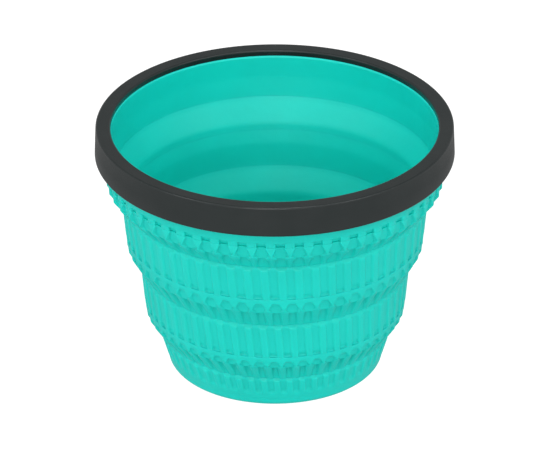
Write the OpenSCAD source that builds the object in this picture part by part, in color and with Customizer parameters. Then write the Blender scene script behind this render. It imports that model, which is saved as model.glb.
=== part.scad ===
// Collapsible travel cup, standing open.
// A stiff rim ring holds the mouth of a silicone moulding made of four stiff walls, each
// smaller than the one above it, joined by three thin sloping folds. Pressed flat, the
// folds turn inside out and the walls nest inside each other.
// +Z is up. The origin is the centre of the underside, on the surface the cup stands on.

/* [Rim ring] */
// Outer diameter of the ring at its lower edge
rim_d = 107.6; // [106:0.2:110]
// Height of the ring
rim_h = 9.5; // [8.4:0.1:10]
// How much narrower the ring is at its top, on the radius
rim_draft = 0.3; // [0:0.1:0.6]
// Thickness of the ring's outer skirt at its lower edge
rim_skirt_t = 2.3; // [2:0.1:2.8]
// How far the ring's lip reaches down inside the cup
rim_lip_h = 1.9; // [1.7:0.1:2.8]

/* [Walls] */
// Outer radius of the upper wall, just under the ring
upper_r = 50.9; // [50.4:0.1:51.2]
// Outer radius of the middle wall at its top
middle_r = 45.9; // [45.2:0.1:46.2]
// Outer radius of the lower wall at its top
lower_r = 40.4; // [40.1:0.1:40.8]
// Outer radius of the base wall at its top
base_r = 35; // [34.6:0.1:35.2]
// Height of the upper wall that shows under the ring
upper_h = 5.2; // [5:0.1:8]
// Height of the middle and lower walls
wall_h = 11.3; // [10.5:0.1:12]
// Height of the base, from the table to its first fold
base_h = 10.8; // [10.4:0.1:12]
// How much each wall narrows towards its bottom, on the radius
wall_draft = 1.1; // [0.7:0.1:1.2]
// Wall thickness at its thick lower part, ribs included
wall_t = 3; // [2.8:0.1:3.2]
// Wall thickness at its thin top edge, where it flexes
wall_top_t = 2.4; // [2.2:0.1:2.6]

/* [Folds] */
// Height of the upper fold
upper_fold_h = 9.5; // [9:0.1:11]
// Height of the middle fold
middle_fold_h = 11.2; // [10.5:0.1:12]
// Height of the lower fold
lower_fold_h = 9.7; // [9.2:0.1:11]

/* [Ribs] */
// Number of ribs around each wall and fold
rib_n = 56; // [40:2:64]
// How far a rib stands off a wall
rib_h = 0.6; // [0.4:0.1:0.8]
// How far down each fold's ribs stand straight, as teeth, before they slope inwards
tooth_h = 3.6; // [3:0.1:4]
// Turn of the upper fold's ribs about the cup's axis, in degrees
rib_turn = -1.5; // [-3:0.1:3]

/* [Base] */
// Thickness of the floor
floor_t = 2.8; // [2.4:0.1:3.2]
// Radius of the rounded bottom edge
foot_round = 2.6; // [2:0.1:2.6]
// Depth of the shallow recess in the underside
foot_recess = 0.5; // [0.3:0.1:0.8]
// Width of the foot ring around that recess
foot_w = 4.6; // [3:0.1:6]

/* [Hidden] */

$fn = 112;
TEAL = [0.13, 0.76, 0.70];
GREY = [0.21, 0.23, 0.24];

// Levels, from the table up
lower_fold_z = base_h;
lower_z = lower_fold_z + lower_fold_h;
middle_fold_z = lower_z + wall_h;
middle_z = middle_fold_z + middle_fold_h;
upper_fold_z = middle_z + wall_h;
upper_z = upper_fold_z + upper_fold_h;
rim_z = upper_z + upper_h;
top_z = rim_z + rim_h;

// Rim ring: the channel that the moulding's bead fills
rim_r = rim_d / 2;
rim_round = 0.6;
rim_top_r = rim_r - rim_draft;
channel_r = rim_r - rim_skirt_t;
channel_in_r = channel_r - 1.4;
channel_top_z = top_z - 1.2;
lip_r = channel_in_r - 1.1;
lip_z = top_z - rim_lip_h;
bead_z = rim_z + 0.8;

// Inside of the upper wall
upper_in_top = lip_r - 0.2;
upper_in_bottom = upper_in_top - 0.8;
upper_r_bottom = upper_r - 0.4;

// The step inside each wall, measured down from the wall's top edge
step_start = 1.5;
step_end = 4.1;

// The base: its plain lower part leans in to the floor
base_in_r = base_r - 4.6;
foot_r = base_r - 2.6;
rib_foot_z = 5;

// Half widths of a rib as a share of the pitch between ribs
face_share = 0.18;
root_share = 0.30;
fold_share = 0.2;
// How deep a rib is sunk into what it stands on, and how far it stops short of the ends
sunk = 0.3;
rib_end = 0.4;
// How far a fold's lower edge stands inside the wall below it, and its upper edge
crease_in = 0.5;
shoulder_in = 0.1;

// Between its ribs a fold has a sill, and below the sill a pocket
tooth_in = 0.3;
gap_depth = 0.6;
sill_h = 4.3;
sill_depth = 1.3;
pocket_depth = 1.3;
pocket_foot = 0.9;

function mix(a, b, t) = a + (b - a) * t;
function arc(centre, r, from, to) =
    [for (i = [0 : 6]) centre + r * [cos(mix(from, to, i / 6)), sin(mix(from, to, i / 6))]];

// A solid of revolution from an outline of [radius, height] points
module ring(outline) {
    rotate_extrude() polygon(outline);
}

// Places one copy of the children at each rib, starting from the angle turn
module around(turn) {
    for (i = [0 : rib_n - 1])
        rotate([0, 0, turn + i * 360 / rib_n]) children();
}

// Upright ribs, chamfered on both sides, leaning with the wall's draft
module wall_ribs(r_bottom, r_top, z, h, turn) {
    pitch = 2 * PI * r_bottom / rib_n;
    face = face_share * pitch;
    root = root_share * pitch;
    around(turn)
        translate([r_bottom - rib_h, 0, z])
            rotate([0, atan2(r_top - r_bottom, h), 0])
                linear_extrude(h)
                    polygon([[-sunk, -root], [0, -root], [rib_h, -face],
                             [rib_h, face], [0, root], [-sunk, root]]);
}

// A stiff wall: a ring with a step on its inside, and ribs on its outside
module ribbed_wall(r, z, turn) {
    r_bottom = r - wall_draft;
    top = z + wall_h;
    function face_at(h) = mix(r_bottom, r, h / wall_h);
    ring([
        [r_bottom - wall_t, z],
        [r_bottom - rib_h, z],
        [r - rib_h, top],
        [r - wall_top_t, top],
        [face_at(wall_h - step_start) - wall_top_t - 0.2, top - step_start],
        [face_at(wall_h - step_end) - wall_t, top - step_end]
    ]);
    wall_ribs(r_bottom, r, z + rib_end, wall_h - 2 * rib_end, turn);
}

// A thin sloping fold between two walls. knee is how far below its upper edge the inside
// starts to slope, and foot how far above its lower edge it stops.
module fold(r_above, in_above, r_below, in_below, z, h, knee, foot, turn) {
    top = z + h;
    r_top = r_above - shoulder_in;
    r_bottom = r_below - crease_in;
    sill_r = r_top - sill_depth;
    sill_z = top - sill_h;
    ring([
        [in_below, z],
        [r_bottom - pocket_foot, z],
        [sill_r - pocket_depth, sill_z - 0.2],
        [sill_r, sill_z],
        [r_top - gap_depth, top],
        [in_above, top],
        [in_above - 0.2, top - knee],
        [in_below + 0.4, z + foot]
    ]);
    width = 2 * fold_share * 2 * PI * r_bottom / rib_n;
    around(turn)
        rotate([90, 0, 0])
            linear_extrude(width, center = true)
                polygon([
                    [r_top - gap_depth - sunk, top - rib_end],
                    [r_top, top - rib_end],
                    [r_top - tooth_in, top - tooth_h],
                    [r_bottom, z + rib_end],
                    [r_bottom - pocket_foot - sunk, z + rib_end],
                    [sill_r - pocket_depth - sunk, sill_z]
                ]);
}

// The stiff ring around the mouth: an upside-down channel with a long outer skirt
module rim_ring() {
    color(GREY)
        ring(concat(
            arc([rim_r - rim_round, rim_z + rim_round], rim_round, -90, 0),
            arc([rim_top_r - rim_round, top_z - rim_round], rim_round, 0, 90),
            arc([lip_r + rim_round, top_z - rim_round], rim_round, 90, 180),
            [
                [lip_r, lip_z],
                [channel_in_r, lip_z],
                [channel_in_r, channel_top_z],
                [channel_r, channel_top_z],
                [channel_r, rim_z]
            ]
        ));
}

// The thick top edge of the moulding, held inside the ring
module rim_bead() {
    color(TEAL)
        ring([
            [upper_in_top, bead_z],
            [channel_r, bead_z],
            [channel_r, channel_top_z],
            [channel_in_r, channel_top_z],
            [channel_in_r, lip_z],
            [lip_r, lip_z]
        ]);
}

// The plain band of silicone that shows under the ring
module upper_wall() {
    color(TEAL)
        ring([
            [upper_in_bottom, upper_z],
            [upper_r_bottom, upper_z],
            [upper_r, bead_z],
            [upper_in_top, bead_z]
        ]);
}

module upper_fold() {
    color(TEAL)
        fold(upper_r_bottom, upper_in_bottom, middle_r, middle_r - wall_top_t,
             upper_fold_z, upper_fold_h, 0.6, 2.1, rib_turn);
}

// Ribs on each wall stand below the gaps between the ribs of the fold above
module middle_wall() {
    color(TEAL) ribbed_wall(middle_r, middle_z, rib_turn + 180 / rib_n);
}

module middle_fold() {
    color(TEAL)
        fold(middle_r - wall_draft, middle_r - wall_draft - wall_t, lower_r,
             lower_r - wall_top_t, middle_fold_z, middle_fold_h, 0.6, 3.8,
             rib_turn + 180 / rib_n);
}

module lower_wall() {
    color(TEAL) ribbed_wall(lower_r, lower_z, rib_turn);
}

module lower_fold() {
    color(TEAL)
        fold(lower_r - wall_draft, lower_r - wall_draft - wall_t, base_r,
             base_r - wall_top_t, lower_fold_z, lower_fold_h, 0.6, 3, rib_turn);
}

// The base wall has ribs on its upper half only
module base_wall() {
    plain_r = base_r - 1.8;
    color(TEAL) {
        ring([
            [base_in_r, floor_t],
            [foot_r, floor_t],
            [plain_r, rib_foot_z],
            [plain_r - 0.5, rib_foot_z + 0.5],
            [base_r - rib_h, base_h],
            [base_r - wall_top_t, base_h],
            [base_r - wall_top_t - 0.6, base_h - step_start]
        ]);
        wall_ribs(plain_r, base_r, rib_foot_z + 0.2, base_h - rib_foot_z - 0.2 - rib_end,
                  rib_turn + 180 / rib_n);
    }
}

// The floor: a disc with a rounded edge, standing on a low foot ring
module base_floor() {
    flat_r = foot_r - foot_round;
    recess_r = flat_r - foot_w;
    color(TEAL)
        ring(concat(
            [[0, foot_recess], [recess_r - 0.5, foot_recess], [recess_r, 0]],
            arc([flat_r, foot_round], foot_round, -90, 0),
            [[foot_r, floor_t], [0, floor_t]]
        ));
}

rim_ring();
rim_bead();
upper_wall();
upper_fold();
middle_wall();
middle_fold();
lower_wall();
lower_fold();
base_wall();
base_floor();
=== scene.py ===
"""Looks for the collapsible travel cup: a stiff rim ring on a ribbed silicone moulding."""

import math

import bpy
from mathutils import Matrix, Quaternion, Vector


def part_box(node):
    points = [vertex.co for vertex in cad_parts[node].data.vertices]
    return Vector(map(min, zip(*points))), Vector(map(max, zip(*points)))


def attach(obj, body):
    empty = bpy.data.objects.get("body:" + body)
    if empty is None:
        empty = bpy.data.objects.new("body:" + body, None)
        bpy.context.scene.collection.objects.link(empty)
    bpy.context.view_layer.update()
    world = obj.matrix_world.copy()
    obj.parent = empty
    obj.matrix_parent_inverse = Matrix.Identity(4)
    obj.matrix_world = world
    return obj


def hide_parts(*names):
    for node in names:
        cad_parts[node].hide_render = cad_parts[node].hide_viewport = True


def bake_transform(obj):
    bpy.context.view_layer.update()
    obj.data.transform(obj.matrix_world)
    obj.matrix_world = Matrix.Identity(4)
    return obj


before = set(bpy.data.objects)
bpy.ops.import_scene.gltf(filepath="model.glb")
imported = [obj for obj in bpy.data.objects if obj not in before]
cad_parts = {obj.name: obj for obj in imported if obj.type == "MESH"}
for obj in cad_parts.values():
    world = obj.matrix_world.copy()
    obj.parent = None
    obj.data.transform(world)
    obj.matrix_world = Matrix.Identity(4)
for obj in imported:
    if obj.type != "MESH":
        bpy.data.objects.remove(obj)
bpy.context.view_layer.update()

MM = 0.001

# ---------------------------------------------------------------- shape, in millimetres

RIBS = 56
PITCH = 2 * math.pi / RIBS
RIB_TURN = math.radians(-1.5)       # first rib of the upper fold, from the camera side
EVEN = [0.0, 0.1, 0.2, 0.3, 0.4, 0.5]
SOFT = 0.02                         # softened edges, as a share of the pitch

WALL_DRAFT = 1.1
BAND_DRAFT = 0.4
BAND_DROP = 0.3                     # the band's lower edge, below the CAD's
LIP_IN = 4.8                        # the ring's lip, measured in from its outer edge
LIP_HEIGHT = 1.9
RIM_DRAFT = 0.3
RIM_ROUND = 0.6
SKIRT_T = 2.3                       # thickness of the ring's outer skirt
CHANNEL_IN = 3.7                    # inner side of the ring's channel, from its outer edge
CHANNEL_TOP = 1.2                   # the channel's roof, below the ring's top
NOTCH_DEPTH = 1.05                  # the notches along the band's lower edge
NOTCH_HEIGHT = 1.6
CREASE_IN = 0.5                     # a fold's lower edge, in from the wall below it
GAP_TOP = 0.55                      # between the teeth, in from their faces
SILL_IN = 1.3
POCKET_IN = 1.7                     # just below the sill, in from the sill
POCKET_FOOT = 0.5                   # at the crease, in from the ridges

BOXES = {node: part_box(node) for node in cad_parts}


def span(node):
    """Lowest and highest level of a CAD node."""
    low, high = BOXES[node]
    return low.z / MM, high.z / MM


def reach(node):
    """Outer radius of a CAD node."""
    return BOXES[node][1].x / MM


def mix(a, b, t):
    """The value a share t of the way from a to b."""
    return a + (b - a) * t


def lean(z):
    """The ribs' sideways lean at a level: none at the band, nearly a pitch at the base."""
    drop = max(0.0, span("upper_wall")[0] - z)
    return math.radians(0.05 * drop + 0.0009 * drop * drop)


def rib(face, root, depth, crown=0.0, soft=SOFT):
    """Half a rib with its half gap: (share of the pitch, depth below the face)."""
    step = (depth - crown) * soft / (root - face)
    return [(0.0, crown), (face - soft, crown), (face + soft, crown + step),
            (root - soft, depth - step), (root + soft, depth), (0.5, depth)]


def pocket(edge, brow, depth, soft=SOFT):
    """Half a rounded ridge between two pockets, and half a pocket."""
    return [(0.0, 0.0), (edge * 0.5, brow * 0.45), (edge - soft, brow),
            (edge + soft, mix(brow, depth, 0.35)), (edge + 3 * soft, depth), (0.5, depth)]


def below(section, depth):
    """The same section as the wall below sees it, half a pitch further round."""
    return [(0.5 - u, depth + h) for u, h in section[::-1]]


def plain(depth=0.0):
    """An even section, with no ribs."""
    return [(u, depth) for u in EVEN]


def ring(z, r, section=None, turn=0.0):
    """A row of points around the cup. The section's depths are measured in from r."""
    half = section or plain()
    cell = [(-u, h) for u, h in half[:0:-1]] + half[:5]
    points = []
    for k in range(RIBS):
        for u, h in cell:
            angle = -math.pi / 2 + turn + lean(z) + (k + u) * PITCH
            points.append(((r - h) * math.cos(angle), (r - h) * math.sin(angle), z))
    return points


def build(name, rings, sharp=(), cyclic=True):
    """A closed mesh through rings of points. A ring of one point is a pole."""
    starts, points = [], []
    for one in rings:
        starts.append(len(points))
        points += [(x * MM, y * MM, z * MM) for x, y, z in one]
    count = len(rings)
    faces = []
    for i in range(count if cyclic else count - 1):
        a, b = i, (i + 1) % count
        wide = max(len(rings[a]), len(rings[b]))
        for j in range(wide):
            n = (j + 1) % wide
            if len(rings[a]) == 1:
                faces.append((starts[a], starts[b] + j, starts[b] + n))
            elif len(rings[b]) == 1:
                faces.append((starts[a] + j, starts[b], starts[a] + n))
            else:
                faces.append((starts[a] + j, starts[b] + j, starts[b] + n, starts[a] + n))
    mesh = bpy.data.meshes.new(name)
    mesh.from_pydata(points, [], faces)
    mesh.update()
    ring_of = {}
    for i in sharp:
        i %= count
        for v in range(starts[i], starts[i] + len(rings[i])):
            ring_of[v] = i
    edge_flags = [e.vertices[0] in ring_of
                  and ring_of[e.vertices[0]] == ring_of.get(e.vertices[1])
                  for e in mesh.edges]
    attribute = mesh.attributes.new("sharp_edge", "BOOLEAN", "EDGE")
    attribute.data.foreach_set("value", edge_flags)
    mesh.polygons.foreach_set("use_smooth", [True] * len(mesh.polygons))
    piece = bpy.data.objects.new(name, mesh)
    bpy.context.scene.collection.objects.link(piece)
    weighted = piece.modifiers.new("even_shading", "WEIGHTED_NORMAL")
    weighted.keep_sharp = True
    weighted.weight = 60
    return piece


# Levels of the edges and creases
BAND_EDGE = span("upper_wall")[0] - BAND_DROP
UPPER_CREASE = span("middle_wall")[1]
MIDDLE_EDGE = span("middle_wall")[0]
MIDDLE_CREASE = span("lower_wall")[1]
LOWER_EDGE = span("lower_wall")[0]
LOWER_CREASE = span("base_wall")[1]
FLOOR = span("base_floor")[1]


def inside_profile():
    """(level, radius) of the inside, from the lip down to the floor."""
    top = span("rim_ring")[1]
    lip = reach("rim_ring") - LIP_IN
    points = [(top, lip), (top - LIP_HEIGHT, lip), (span("rim_bead")[0], lip - 0.2),
              (BAND_EDGE, lip - 1.0)]
    for node, foot in (("middle_wall", 2.1), ("lower_wall", 3.8), ("base_wall", 3.0)):
        low, top = span(node)
        r = reach(node)
        edge, edge_r = points[-1]
        points += [(edge - 0.5, edge_r - 0.15), (top + foot, r - 2.0), (top, r - 2.35),
                   (top - 1.5, r - 2.75)]
        if node == "base_wall":
            points.append((FLOOR, r - 4.6))
        else:
            points += [(top - 4.1, r - 3.4), (low, r - WALL_DRAFT - 3.0)]
    return points


INSIDE = inside_profile()


def inside_radius(z):
    """The inside's radius at a level, with its shoulders rounded off."""
    def straight(level):
        for (z0, r0), (z1, r1) in zip(INSIDE, INSIDE[1:]):
            if level >= z1:
                return r1 if z0 == z1 else mix(r1, r0, min(1.0, (level - z1) / (z0 - z1)))
        return INSIDE[-1][1]
    return sum(straight(z + 0.5 * k / 4) for k in range(-4, 5)) / 9


def inside_rings(low, high, turn, step=0.7):
    """Rings up the inside from one level to another."""
    n = max(1, round((high - low) / step))
    return [ring(mix(low, high, i / n), inside_radius(mix(low, high, i / n)), None, turn)
            for i in range(n + 1)]


def upper_band():
    """The plain band under the ring, with the bead that the ring holds."""
    turn = RIB_TURN
    bead_low, bead_top = span("rim_bead")
    bead = reach("rim_bead") - 0.08
    lip = reach("rim_ring") - LIP_IN
    r = reach("upper_wall")

    def face(z):
        return r - BAND_DRAFT * (bead_low - z) / (bead_low - BAND_EDGE)

    def notches(depth):
        return rib(0.25, 0.275, depth, soft=0.01)
    notch_top = BAND_EDGE + NOTCH_HEIGHT
    notch = notches(NOTCH_DEPTH)
    outer = [
        (bead_top - 0.08, bead, None), (bead_low, bead, None), (bead_low - 0.05, r, None),
        (notch_top + 0.12, face(notch_top), None),
        (notch_top, face(notch_top), notches(0.15)),
        (notch_top - 0.08, face(notch_top), notches(NOTCH_DEPTH - 0.05)),
        (notch_top - 0.3, face(notch_top), notch),
        (BAND_EDGE + 0.2, face(BAND_EDGE), notch),
        (BAND_EDGE + 0.06, face(BAND_EDGE) - 0.08, notch),
        (BAND_EDGE, face(BAND_EDGE) - 0.2, notches(NOTCH_DEPTH - 0.1)),
    ]
    rings = [ring(z, rr, s, turn) for z, rr, s in outer]
    rings += inside_rings(BAND_EDGE, bead_top - 0.75, turn)
    rings += [ring(z, rr, None, turn) for z, rr in
              [(bead_top - 0.7, lip + 1.15), (bead_top - 0.08, lip + 1.15)]]
    return build("upper_band", rings, sharp=(0, 9, 10))


def fold(name, top, crease, r_top, r_bottom, turn, plain_h, tip, sill, tooth_in, widths):
    """A sloping fold: upright teeth under its edge, a sill, and pockets below the sill.

    plain_h is how far down the edge stays plain, tip where the teeth end, sill where the
    sill is and tooth_in how far the teeth lean in; widths are the half widths of a tooth
    and of the ridge at its top and foot, as shares of the pitch.
    """
    height = top - crease
    tooth, ridge_top, ridge_low = widths

    def crest(d):
        if d <= tip:
            return r_top - tooth_in * d / tip
        return mix(r_top - tooth_in, r_bottom, (d - tip) / (height - tip))

    def gap(d):
        """How far the floor between the teeth lies in from their faces."""
        return crest(d) - r_top + mix(GAP_TOP, SILL_IN, d / sill)
    start = rib(tooth, tooth + 0.03, gap(0.0), 0.2, 0.01)
    rows = [(0.0, plain(0.15) if plain_h else start),
            (0.08, plain(0.05) if plain_h else rib(tooth, tooth + 0.03, gap(0.0), 0.08, 0.01))]
    if plain_h:
        rows += [(0.22, plain(0.0)), (plain_h, plain(0.0)),
                 (plain_h + 0.12, rib(tooth, tooth + 0.05, 0.15)),
                 (plain_h + 0.4, rib(tooth * 0.95, tooth + 0.05, 0.55 * gap(plain_h)))]
    else:
        rows += [(0.25, rib(tooth, tooth + 0.03, gap(0.25), 0.0, 0.01))]
    for share in (0.5, 0.96):
        d = mix(plain_h, tip, share)
        rows.append((d, rib(mix(tooth, 0.02, share), mix(tooth + 0.05, 0.14, share), gap(d),
                            0.0, 0.01)))
    brow = 0.3
    on_sill = crest(sill) - (r_top - SILL_IN)
    under_sill = on_sill + POCKET_IN
    rows += [
        (sill - 0.06, pocket(ridge_top, on_sill * 0.8, on_sill)),
        (sill + 0.03, pocket(ridge_top, on_sill * 0.9, on_sill + 0.25)),
        (sill + 0.14, pocket(ridge_top, brow, under_sill - 0.12)),
        (sill + 0.4, pocket(ridge_top, brow, under_sill)),
    ]
    for share in (0.35, 0.7, 1.0):
        rows.append((mix(sill + 0.4, height, share),
                     pocket(mix(ridge_top, ridge_low, min(1.0, 2.4 * share)), brow,
                            mix(under_sill, POCKET_FOOT, share))))
    rings = [ring(top - d, crest(d), s, turn) for d, s in rows]
    last = len(rings) - 1
    rings += inside_rings(crease, top, turn)
    return build(name, rings, sharp=(0, last, last + 1, -1))


def wall_rows(height, notch_top, ridge, depth=0.45):
    """(distance below the crease, section) down a ribbed wall."""
    main = rib(0.18, 0.30, depth)
    notch = [(0.0, 0.0), (0.16, 0.0), (0.2, 0.1), (0.27, 0.45), (0.3, 0.8), (0.5, 0.85)]
    low = [(0.0, 0.0), (0.15, 0.0), (0.175, 0.05), (0.2, 0.25), (0.24, 0.8), (0.5, 0.85)]
    return [
        (0.0, below(pocket(ridge, 0.3, POCKET_FOOT), CREASE_IN)),
        (0.7, [(0.0, 0.35), (0.14, 0.4), (0.2, 0.47), (0.28, 0.45), (0.32, 0.45), (0.5, 0.45)]),
        (1.05, rib(0.16, 0.28, depth, 0.06)), (1.5, main),
        (notch_top - 0.08, main),
        (notch_top, [(0.0, 0.0), (0.16, 0.0), (0.2, 0.1), (0.28, 0.45), (0.32, 0.56), (0.5, 0.6)]),
        (notch_top + 0.15, notch),
        (height - 0.45, low), (height - 0.12, [(u, 0.04 + 0.6 * h) for u, h in low]),
        (height, plain(0.12)),
    ]


def wall(name, node, top, edge, turn, ridge):
    """A stiff upright wall with ribs, and notches between their lower ends."""
    height = top - edge
    r = reach(node)
    rings = [ring(top - d, r - WALL_DRAFT * d / height, s, turn)
             for d, s in wall_rows(height, height - 1.5, ridge)]
    last = len(rings) - 1
    rings += inside_rings(edge, top, turn)
    return build(name, rings, sharp=(0, last, last + 1, -1))


def base_cup(ridge):
    """The base: ribs that fade out on the way down, a rounded edge and a foot ring."""
    turn = RIB_TURN + PITCH / 2
    low, top = span("base_wall")
    r = reach("base_wall")
    plain_z, plain_r = 4.6, r - 1.9
    foot, radius = r - 2.6, 2.6

    def face(z):
        return mix(plain_r, r, (z - plain_z) / (top - plain_z))
    rings = [ring(top - d, face(top - d), s, turn) for d, s in wall_rows(9.0, 8.0, ridge)[:4]]
    rings += [ring(z, face(z), s, turn) for z, s in [
        (plain_z + 1.8, rib(0.18, 0.30, 0.55)), (plain_z + 1.1, rib(0.17, 0.30, 0.42)),
        (plain_z + 0.5, rib(0.15, 0.30, 0.18)), (plain_z, None)]]
    rings.append(ring(radius + 0.6, mix(foot, plain_r, 0.3), None, turn))
    flat = foot - radius
    for i in range(9):
        a = math.radians(90 * i / 8)
        rings.append(ring(radius - radius * math.sin(a), flat + radius * math.cos(a), None, turn))
    recess = flat - 4.6
    rings += [ring(z, rr, None, turn) for z, rr in [
        (0.0, flat - 2.3), (0.0, recess + 0.1), (0.08, recess - 0.1), (0.42, recess - 0.5),
        (0.5, recess - 0.8), (0.5, recess * 0.6), (0.5, recess * 0.25), (0.5, recess * 0.04)]]
    rings.append([(0.0, 0.0, 0.5)])
    floor_r = inside_radius(low) - 1.5
    inner = [[(0.0, 0.0, FLOOR)]]
    inner += [ring(FLOOR, floor_r * k, None, turn) for k in (0.04, 0.25, 0.6, 0.9, 1.0)]
    for i in range(1, 6):
        a = math.radians(90 * i / 5)
        inner.append(ring(FLOOR + 1.5 * (1 - math.cos(a)), floor_r + 1.5 * math.sin(a), None, turn))
    inner += inside_rings(FLOOR + 1.7, top, turn)
    return build("base_cup", inner + rings, sharp=(len(inner) - 1, len(inner)), cyclic=False)


def rim_ring():
    """The stiff ring: an upside-down channel with a long outer skirt."""
    low, top = span("rim_ring")
    r = reach("rim_ring")
    lip = r - LIP_IN
    skirt_in, channel_in = r - SKIRT_T, r - CHANNEL_IN

    def arc(cr, cz, start, end, n=6):
        angles = [math.radians(mix(start, end, i / n)) for i in range(n + 1)]
        return [(cr + RIM_ROUND * math.cos(a), cz + RIM_ROUND * math.sin(a)) for a in angles]
    profile = arc(r - RIM_DRAFT - RIM_ROUND, top - RIM_ROUND, 90, 0)
    profile += [(r - 0.14, mix(low, top, 0.5))]
    profile += arc(r - RIM_ROUND, low + RIM_ROUND, 0, -90)
    profile += [(skirt_in, low), (skirt_in, top - CHANNEL_TOP), (channel_in, top - CHANNEL_TOP),
                (channel_in, top - LIP_HEIGHT)]
    profile += [(lip + 0.15, top - LIP_HEIGHT), (lip, top - LIP_HEIGHT + 0.15)]
    profile += arc(lip + RIM_ROUND, top - RIM_ROUND, 180, 90)
    count = 280
    rings = [[(rr * math.cos(2 * math.pi * j / count), rr * math.sin(2 * math.pi * j / count), z)
              for j in range(count)] for rr, z in profile]
    return build("rim_ring_visual", rings, sharp=(15, 16, 17, 18, 19))


# ---------------------------------------------------------------- materials


def shader(name):
    """A new material with its node tree and shader."""
    material = bpy.data.materials.new(name)
    material.use_nodes = True
    tree = material.node_tree
    return material, tree, tree.nodes["Principled BSDF"]


def add(tree, kind, **inputs):
    """A node, with its inputs set by name or linked from another node's output."""
    node = tree.nodes.new("ShaderNode" + kind)
    for key, value in inputs.items():
        socket = node.inputs[key.replace("_", " ")]
        if isinstance(value, bpy.types.NodeSocket):
            tree.links.new(value, socket)
        else:
            socket.default_value = value
    return node


def maths(tree, operation, a, b=None):
    """The result of one arithmetic operation."""
    node = tree.nodes.new("ShaderNodeMath")
    node.operation = operation
    tree.links.new(a, node.inputs[0])
    if b is not None:
        tree.links.new(b, node.inputs[1])
    return node.outputs[0]


def noise(tree, coordinates, scale, detail=2.0, roughness=0.5):
    """Smooth noise over the given coordinates."""
    return add(tree, "TexNoise", Vector=coordinates, Scale=scale, Detail=detail,
               Roughness=roughness).outputs["Fac"]


def remap(tree, value, from_low, from_high, to_low, to_high):
    """A value carried from one range to another, and kept inside it."""
    node = tree.nodes.new("ShaderNodeMapRange")
    tree.links.new(value, node.inputs["Value"])
    for name, number in (("From Min", from_low), ("From Max", from_high),
                         ("To Min", to_low), ("To Max", to_high)):
        node.inputs[name].default_value = number
    return node.outputs["Result"]


def blend_colour(tree, factor, a, b):
    """A mix of two colours, each a constant or another node's output."""
    node = tree.nodes.new("ShaderNodeMix")
    node.data_type = "RGBA"
    tree.links.new(factor, node.inputs[0])
    for socket, value in ((node.inputs[6], a), (node.inputs[7], b)):
        if isinstance(value, bpy.types.NodeSocket):
            tree.links.new(value, socket)
        else:
            socket.default_value = (*value, 1.0)
    return node.outputs[2]


def bump(tree, height, distance, strength, normal=None):
    """A bumped normal, laid over another one where it is given."""
    node = add(tree, "Bump", Height=height, Distance=distance, Strength=strength)
    if normal is not None:
        tree.links.new(normal, node.inputs["Normal"])
    return node.outputs["Normal"]


def silicone():
    """Matte moulded silicone: softly mottled, slightly translucent, with a painted highlight along
    its edges.
    """
    material, tree, surface = shader("turquoise_silicone")
    place = add(tree, "TexCoord").outputs["Object"]
    edges = add(tree, "NewGeometry").outputs["Pointiness"]
    mottle = remap(tree, noise(tree, place, 70.0, 3.0), 0.3, 0.7, 0.0, 1.0)
    body = blend_colour(tree, mottle, (0.0, 0.50, 0.43), (0.0, 0.53, 0.455))
    # painted highlight: convex edges, found by pointiness, are tinted paler to stand in for the
    # light they catch
    edge_highlight = remap(tree, edges, 0.505, 0.56, 0.0, 0.2)
    tree.links.new(blend_colour(tree, edge_highlight, body, (0.01, 0.60, 0.52)),
                   surface.inputs["Base Color"])
    grain = noise(tree, place, 3200.0, 2.0)
    tree.links.new(remap(tree, grain, 0.3, 0.7, 0.46, 0.56), surface.inputs["Roughness"])
    soft = bump(tree, noise(tree, place, 420.0, 2.0), 0.00012, 0.35)
    tree.links.new(bump(tree, grain, 0.00003, 0.4, soft), surface.inputs["Normal"])
    surface.inputs["Subsurface Weight"].default_value = 0.6
    surface.inputs["Subsurface Radius"].default_value = (0.25, 1.0, 0.85)
    surface.inputs["Subsurface Scale"].default_value = 0.001
    surface.inputs["Specular IOR Level"].default_value = 0.27
    return material


def rim_plastic():
    """Dark matte plastic with a fine moulded grain, slightly polished edges and a painted highlight
    along them.
    """
    material, tree, surface = shader("charcoal_plastic")
    place = add(tree, "TexCoord").outputs["Object"]
    edges = add(tree, "NewGeometry").outputs["Pointiness"]
    mottle = remap(tree, noise(tree, place, 110.0, 4.0), 0.3, 0.7, 0.0, 1.0)
    body = blend_colour(tree, mottle, (0.006, 0.010, 0.010), (0.009, 0.013, 0.013))
    # painted highlight: convex edges, found by pointiness, are tinted lighter to stand in for the
    # highlight line on the ring's rounded edges
    edge_highlight = remap(tree, edges, 0.51, 0.57, 0.0, 0.35)
    tree.links.new(blend_colour(tree, edge_highlight, body, (0.03, 0.036, 0.036)),
                   surface.inputs["Base Color"])
    grain = noise(tree, place, 5200.0, 3.0)
    rough = remap(tree, grain, 0.3, 0.7, 0.46, 0.6)
    polish = remap(tree, edges, 0.505, 0.53, 0.0, 0.32)
    tree.links.new(maths(tree, "SUBTRACT", rough, polish), surface.inputs["Roughness"])
    tree.links.new(bump(tree, grain, 0.00004, 0.5), surface.inputs["Normal"])
    surface.inputs["Specular IOR Level"].default_value = 0.3
    return material


def floor_card():
    """A plain white card, lit from within so that no shadow shows on it."""
    material, tree, surface = shader("white_card")
    place = add(tree, "TexCoord").outputs["Object"]
    fibre = noise(tree, place, 900.0, 3.0)
    tree.links.new(blend_colour(tree, fibre, (0.13, 0.13, 0.13), (0.15, 0.15, 0.15)),
                   surface.inputs["Base Color"])
    surface.inputs["Roughness"].default_value = 0.9
    surface.inputs["Specular IOR Level"].default_value = 0.1
    surface.inputs["Emission Color"].default_value = (1.0, 1.0, 1.0, 1.0)
    surface.inputs["Emission Strength"].default_value = 1.0
    return material


# ---------------------------------------------------------------- the pieces


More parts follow.
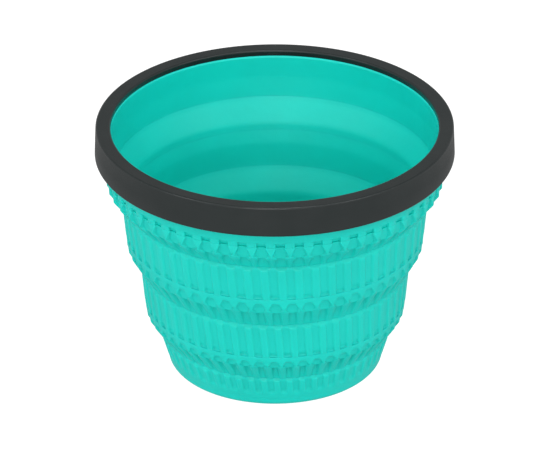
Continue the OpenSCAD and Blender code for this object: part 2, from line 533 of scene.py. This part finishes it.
def place_pieces():
    """Builds each piece, gives it its material and says what it rides on."""
    half = PITCH / 2
    moulding, plastic = silicone(), rim_plastic()

    ring_piece = rim_ring()
    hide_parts("rim_ring")
    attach(ring_piece, "rim_tier")
    ring_piece.data.materials.append(plastic)

    band = upper_band()
    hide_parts("upper_wall", "rim_bead")
    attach(band, "rim_tier")

    middle = wall("middle_wall_visual", "middle_wall", UPPER_CREASE, MIDDLE_EDGE,
                  RIB_TURN + half, 0.14)
    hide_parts("middle_wall")
    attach(middle, "middle_tier")
    lower = wall("lower_wall_visual", "lower_wall", MIDDLE_CREASE, LOWER_EDGE, RIB_TURN, 0.22)
    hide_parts("lower_wall")
    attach(lower, "lower_tier")
    base = base_cup(0.25)
    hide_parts("base_wall", "base_floor")
    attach(base, "base")

    upper = fold("upper_fold_visual", BAND_EDGE, UPPER_CREASE, reach("upper_fold"),
                 reach("middle_wall") - CREASE_IN, RIB_TURN, plain_h=0.0, tip=3.2, sill=4.0,
                 tooth_in=0.0, widths=(0.27, 0.31, 0.14))
    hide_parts("upper_fold")
    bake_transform(upper)
    second = fold("middle_fold_visual", MIDDLE_EDGE, MIDDLE_CREASE, reach("middle_fold"),
                  reach("lower_wall") - CREASE_IN, RIB_TURN + half, plain_h=1.3, tip=3.8,
                  sill=5.0, tooth_in=0.3, widths=(0.28, 0.27, 0.22))
    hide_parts("middle_fold")
    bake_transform(second)
    third = fold("lower_fold_visual", LOWER_EDGE, LOWER_CREASE, reach("lower_fold"),
                 reach("base_wall") - CREASE_IN, RIB_TURN, plain_h=1.4, tip=3.4, sill=4.0,
                 tooth_in=0.4, widths=(0.28, 0.29, 0.25))
    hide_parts("lower_fold")
    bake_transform(third)
    for piece in (band, upper, middle, second, lower, third, base):
        piece.data.materials.append(moulding)


# ---------------------------------------------------------------- studio


def studio():
    """A white floor, a white ring of light at the horizon, and four softboxes."""
    scene = bpy.context.scene
    scene.view_settings.view_transform = "Standard"
    mesh = bpy.data.meshes.new("floor")
    size = 4.0
    mesh.from_pydata([(-size, -size, 0), (size, -size, 0), (size, size, 0), (-size, size, 0)],
                     [], [(0, 1, 2, 3)])
    floor = bpy.data.objects.new("floor", mesh)
    scene.collection.objects.link(floor)
    floor.data.materials.append(floor_card())
    floor.visible_diffuse = floor.visible_glossy = floor.visible_shadow = False

    world = bpy.data.worlds.new("white_room")
    world.use_nodes = True
    tree = world.node_tree
    way = add(tree, "SeparateXYZ", Vector=add(tree, "TexCoord").outputs["Generated"]).outputs
    steep = maths(tree, "ABSOLUTE", way["Z"])
    tree.links.new(maths(tree, "MULTIPLY", remap(tree, steep, 0.3, 0.95, 1.1, 0.45),
                         remap(tree, way["Y"], 0.0, 0.7, 1.0, 0.55)),
                   tree.nodes["Background"].inputs["Strength"])
    tree.nodes["Background"].inputs["Color"].default_value = (1.0, 1.0, 1.0, 1.0)
    scene.world = world

    def softbox(name, location, size, power):
        light = bpy.data.lights.new(name, "AREA")
        light.shape = "SQUARE"
        light.size = size
        light.energy = power
        lamp = bpy.data.objects.new(name, light)
        lamp.location = location
        aim = Vector((0.0, 0.0, 0.05)) - Vector(location)
        lamp.rotation_euler = aim.to_track_quat("-Z", "Y").to_euler()
        scene.collection.objects.link(lamp)
    softbox("top", (0.05, -0.25, 1.0), 0.4, 3.4)
    softbox("front", (-0.1, -1.0, 0.45), 0.5, 4.2)
    softbox("right", (0.85, -0.5, 0.95), 0.4, 3.6)
    softbox("left", (-0.9, -0.45, 0.95), 0.4, 3.6)


LENS = 548.6                        # millimetres, on a 36 mm sensor
DISTANCE = 2.5                      # metres, from the centre of the rim's top
ELEVATION = math.radians(27.346)
AIM_HEIGHT = 0.0445                 # metres above the table, on the cup's axis
ROLL = math.radians(-0.2)


def camera():
    """The view from the front and above, through a very long lens."""
    scene = bpy.context.scene
    data = bpy.data.cameras.new("camera")
    data.sensor_width = 36.0
    data.lens = LENS
    view = bpy.data.objects.new("camera", data)
    scene.collection.objects.link(view)
    top = span("rim_ring")[1] * MM
    view.location = (0.0, -DISTANCE * math.cos(ELEVATION), top + DISTANCE * math.sin(ELEVATION))
    aim = Vector((0.0, 0.0, AIM_HEIGHT)) - view.location
    view.rotation_mode = "QUATERNION"
    view.rotation_quaternion = aim.to_track_quat("-Z", "Y") @ Quaternion(
        (0.0, 0.0, 1.0), ROLL)
    scene.camera = view


place_pieces()
studio()
camera()
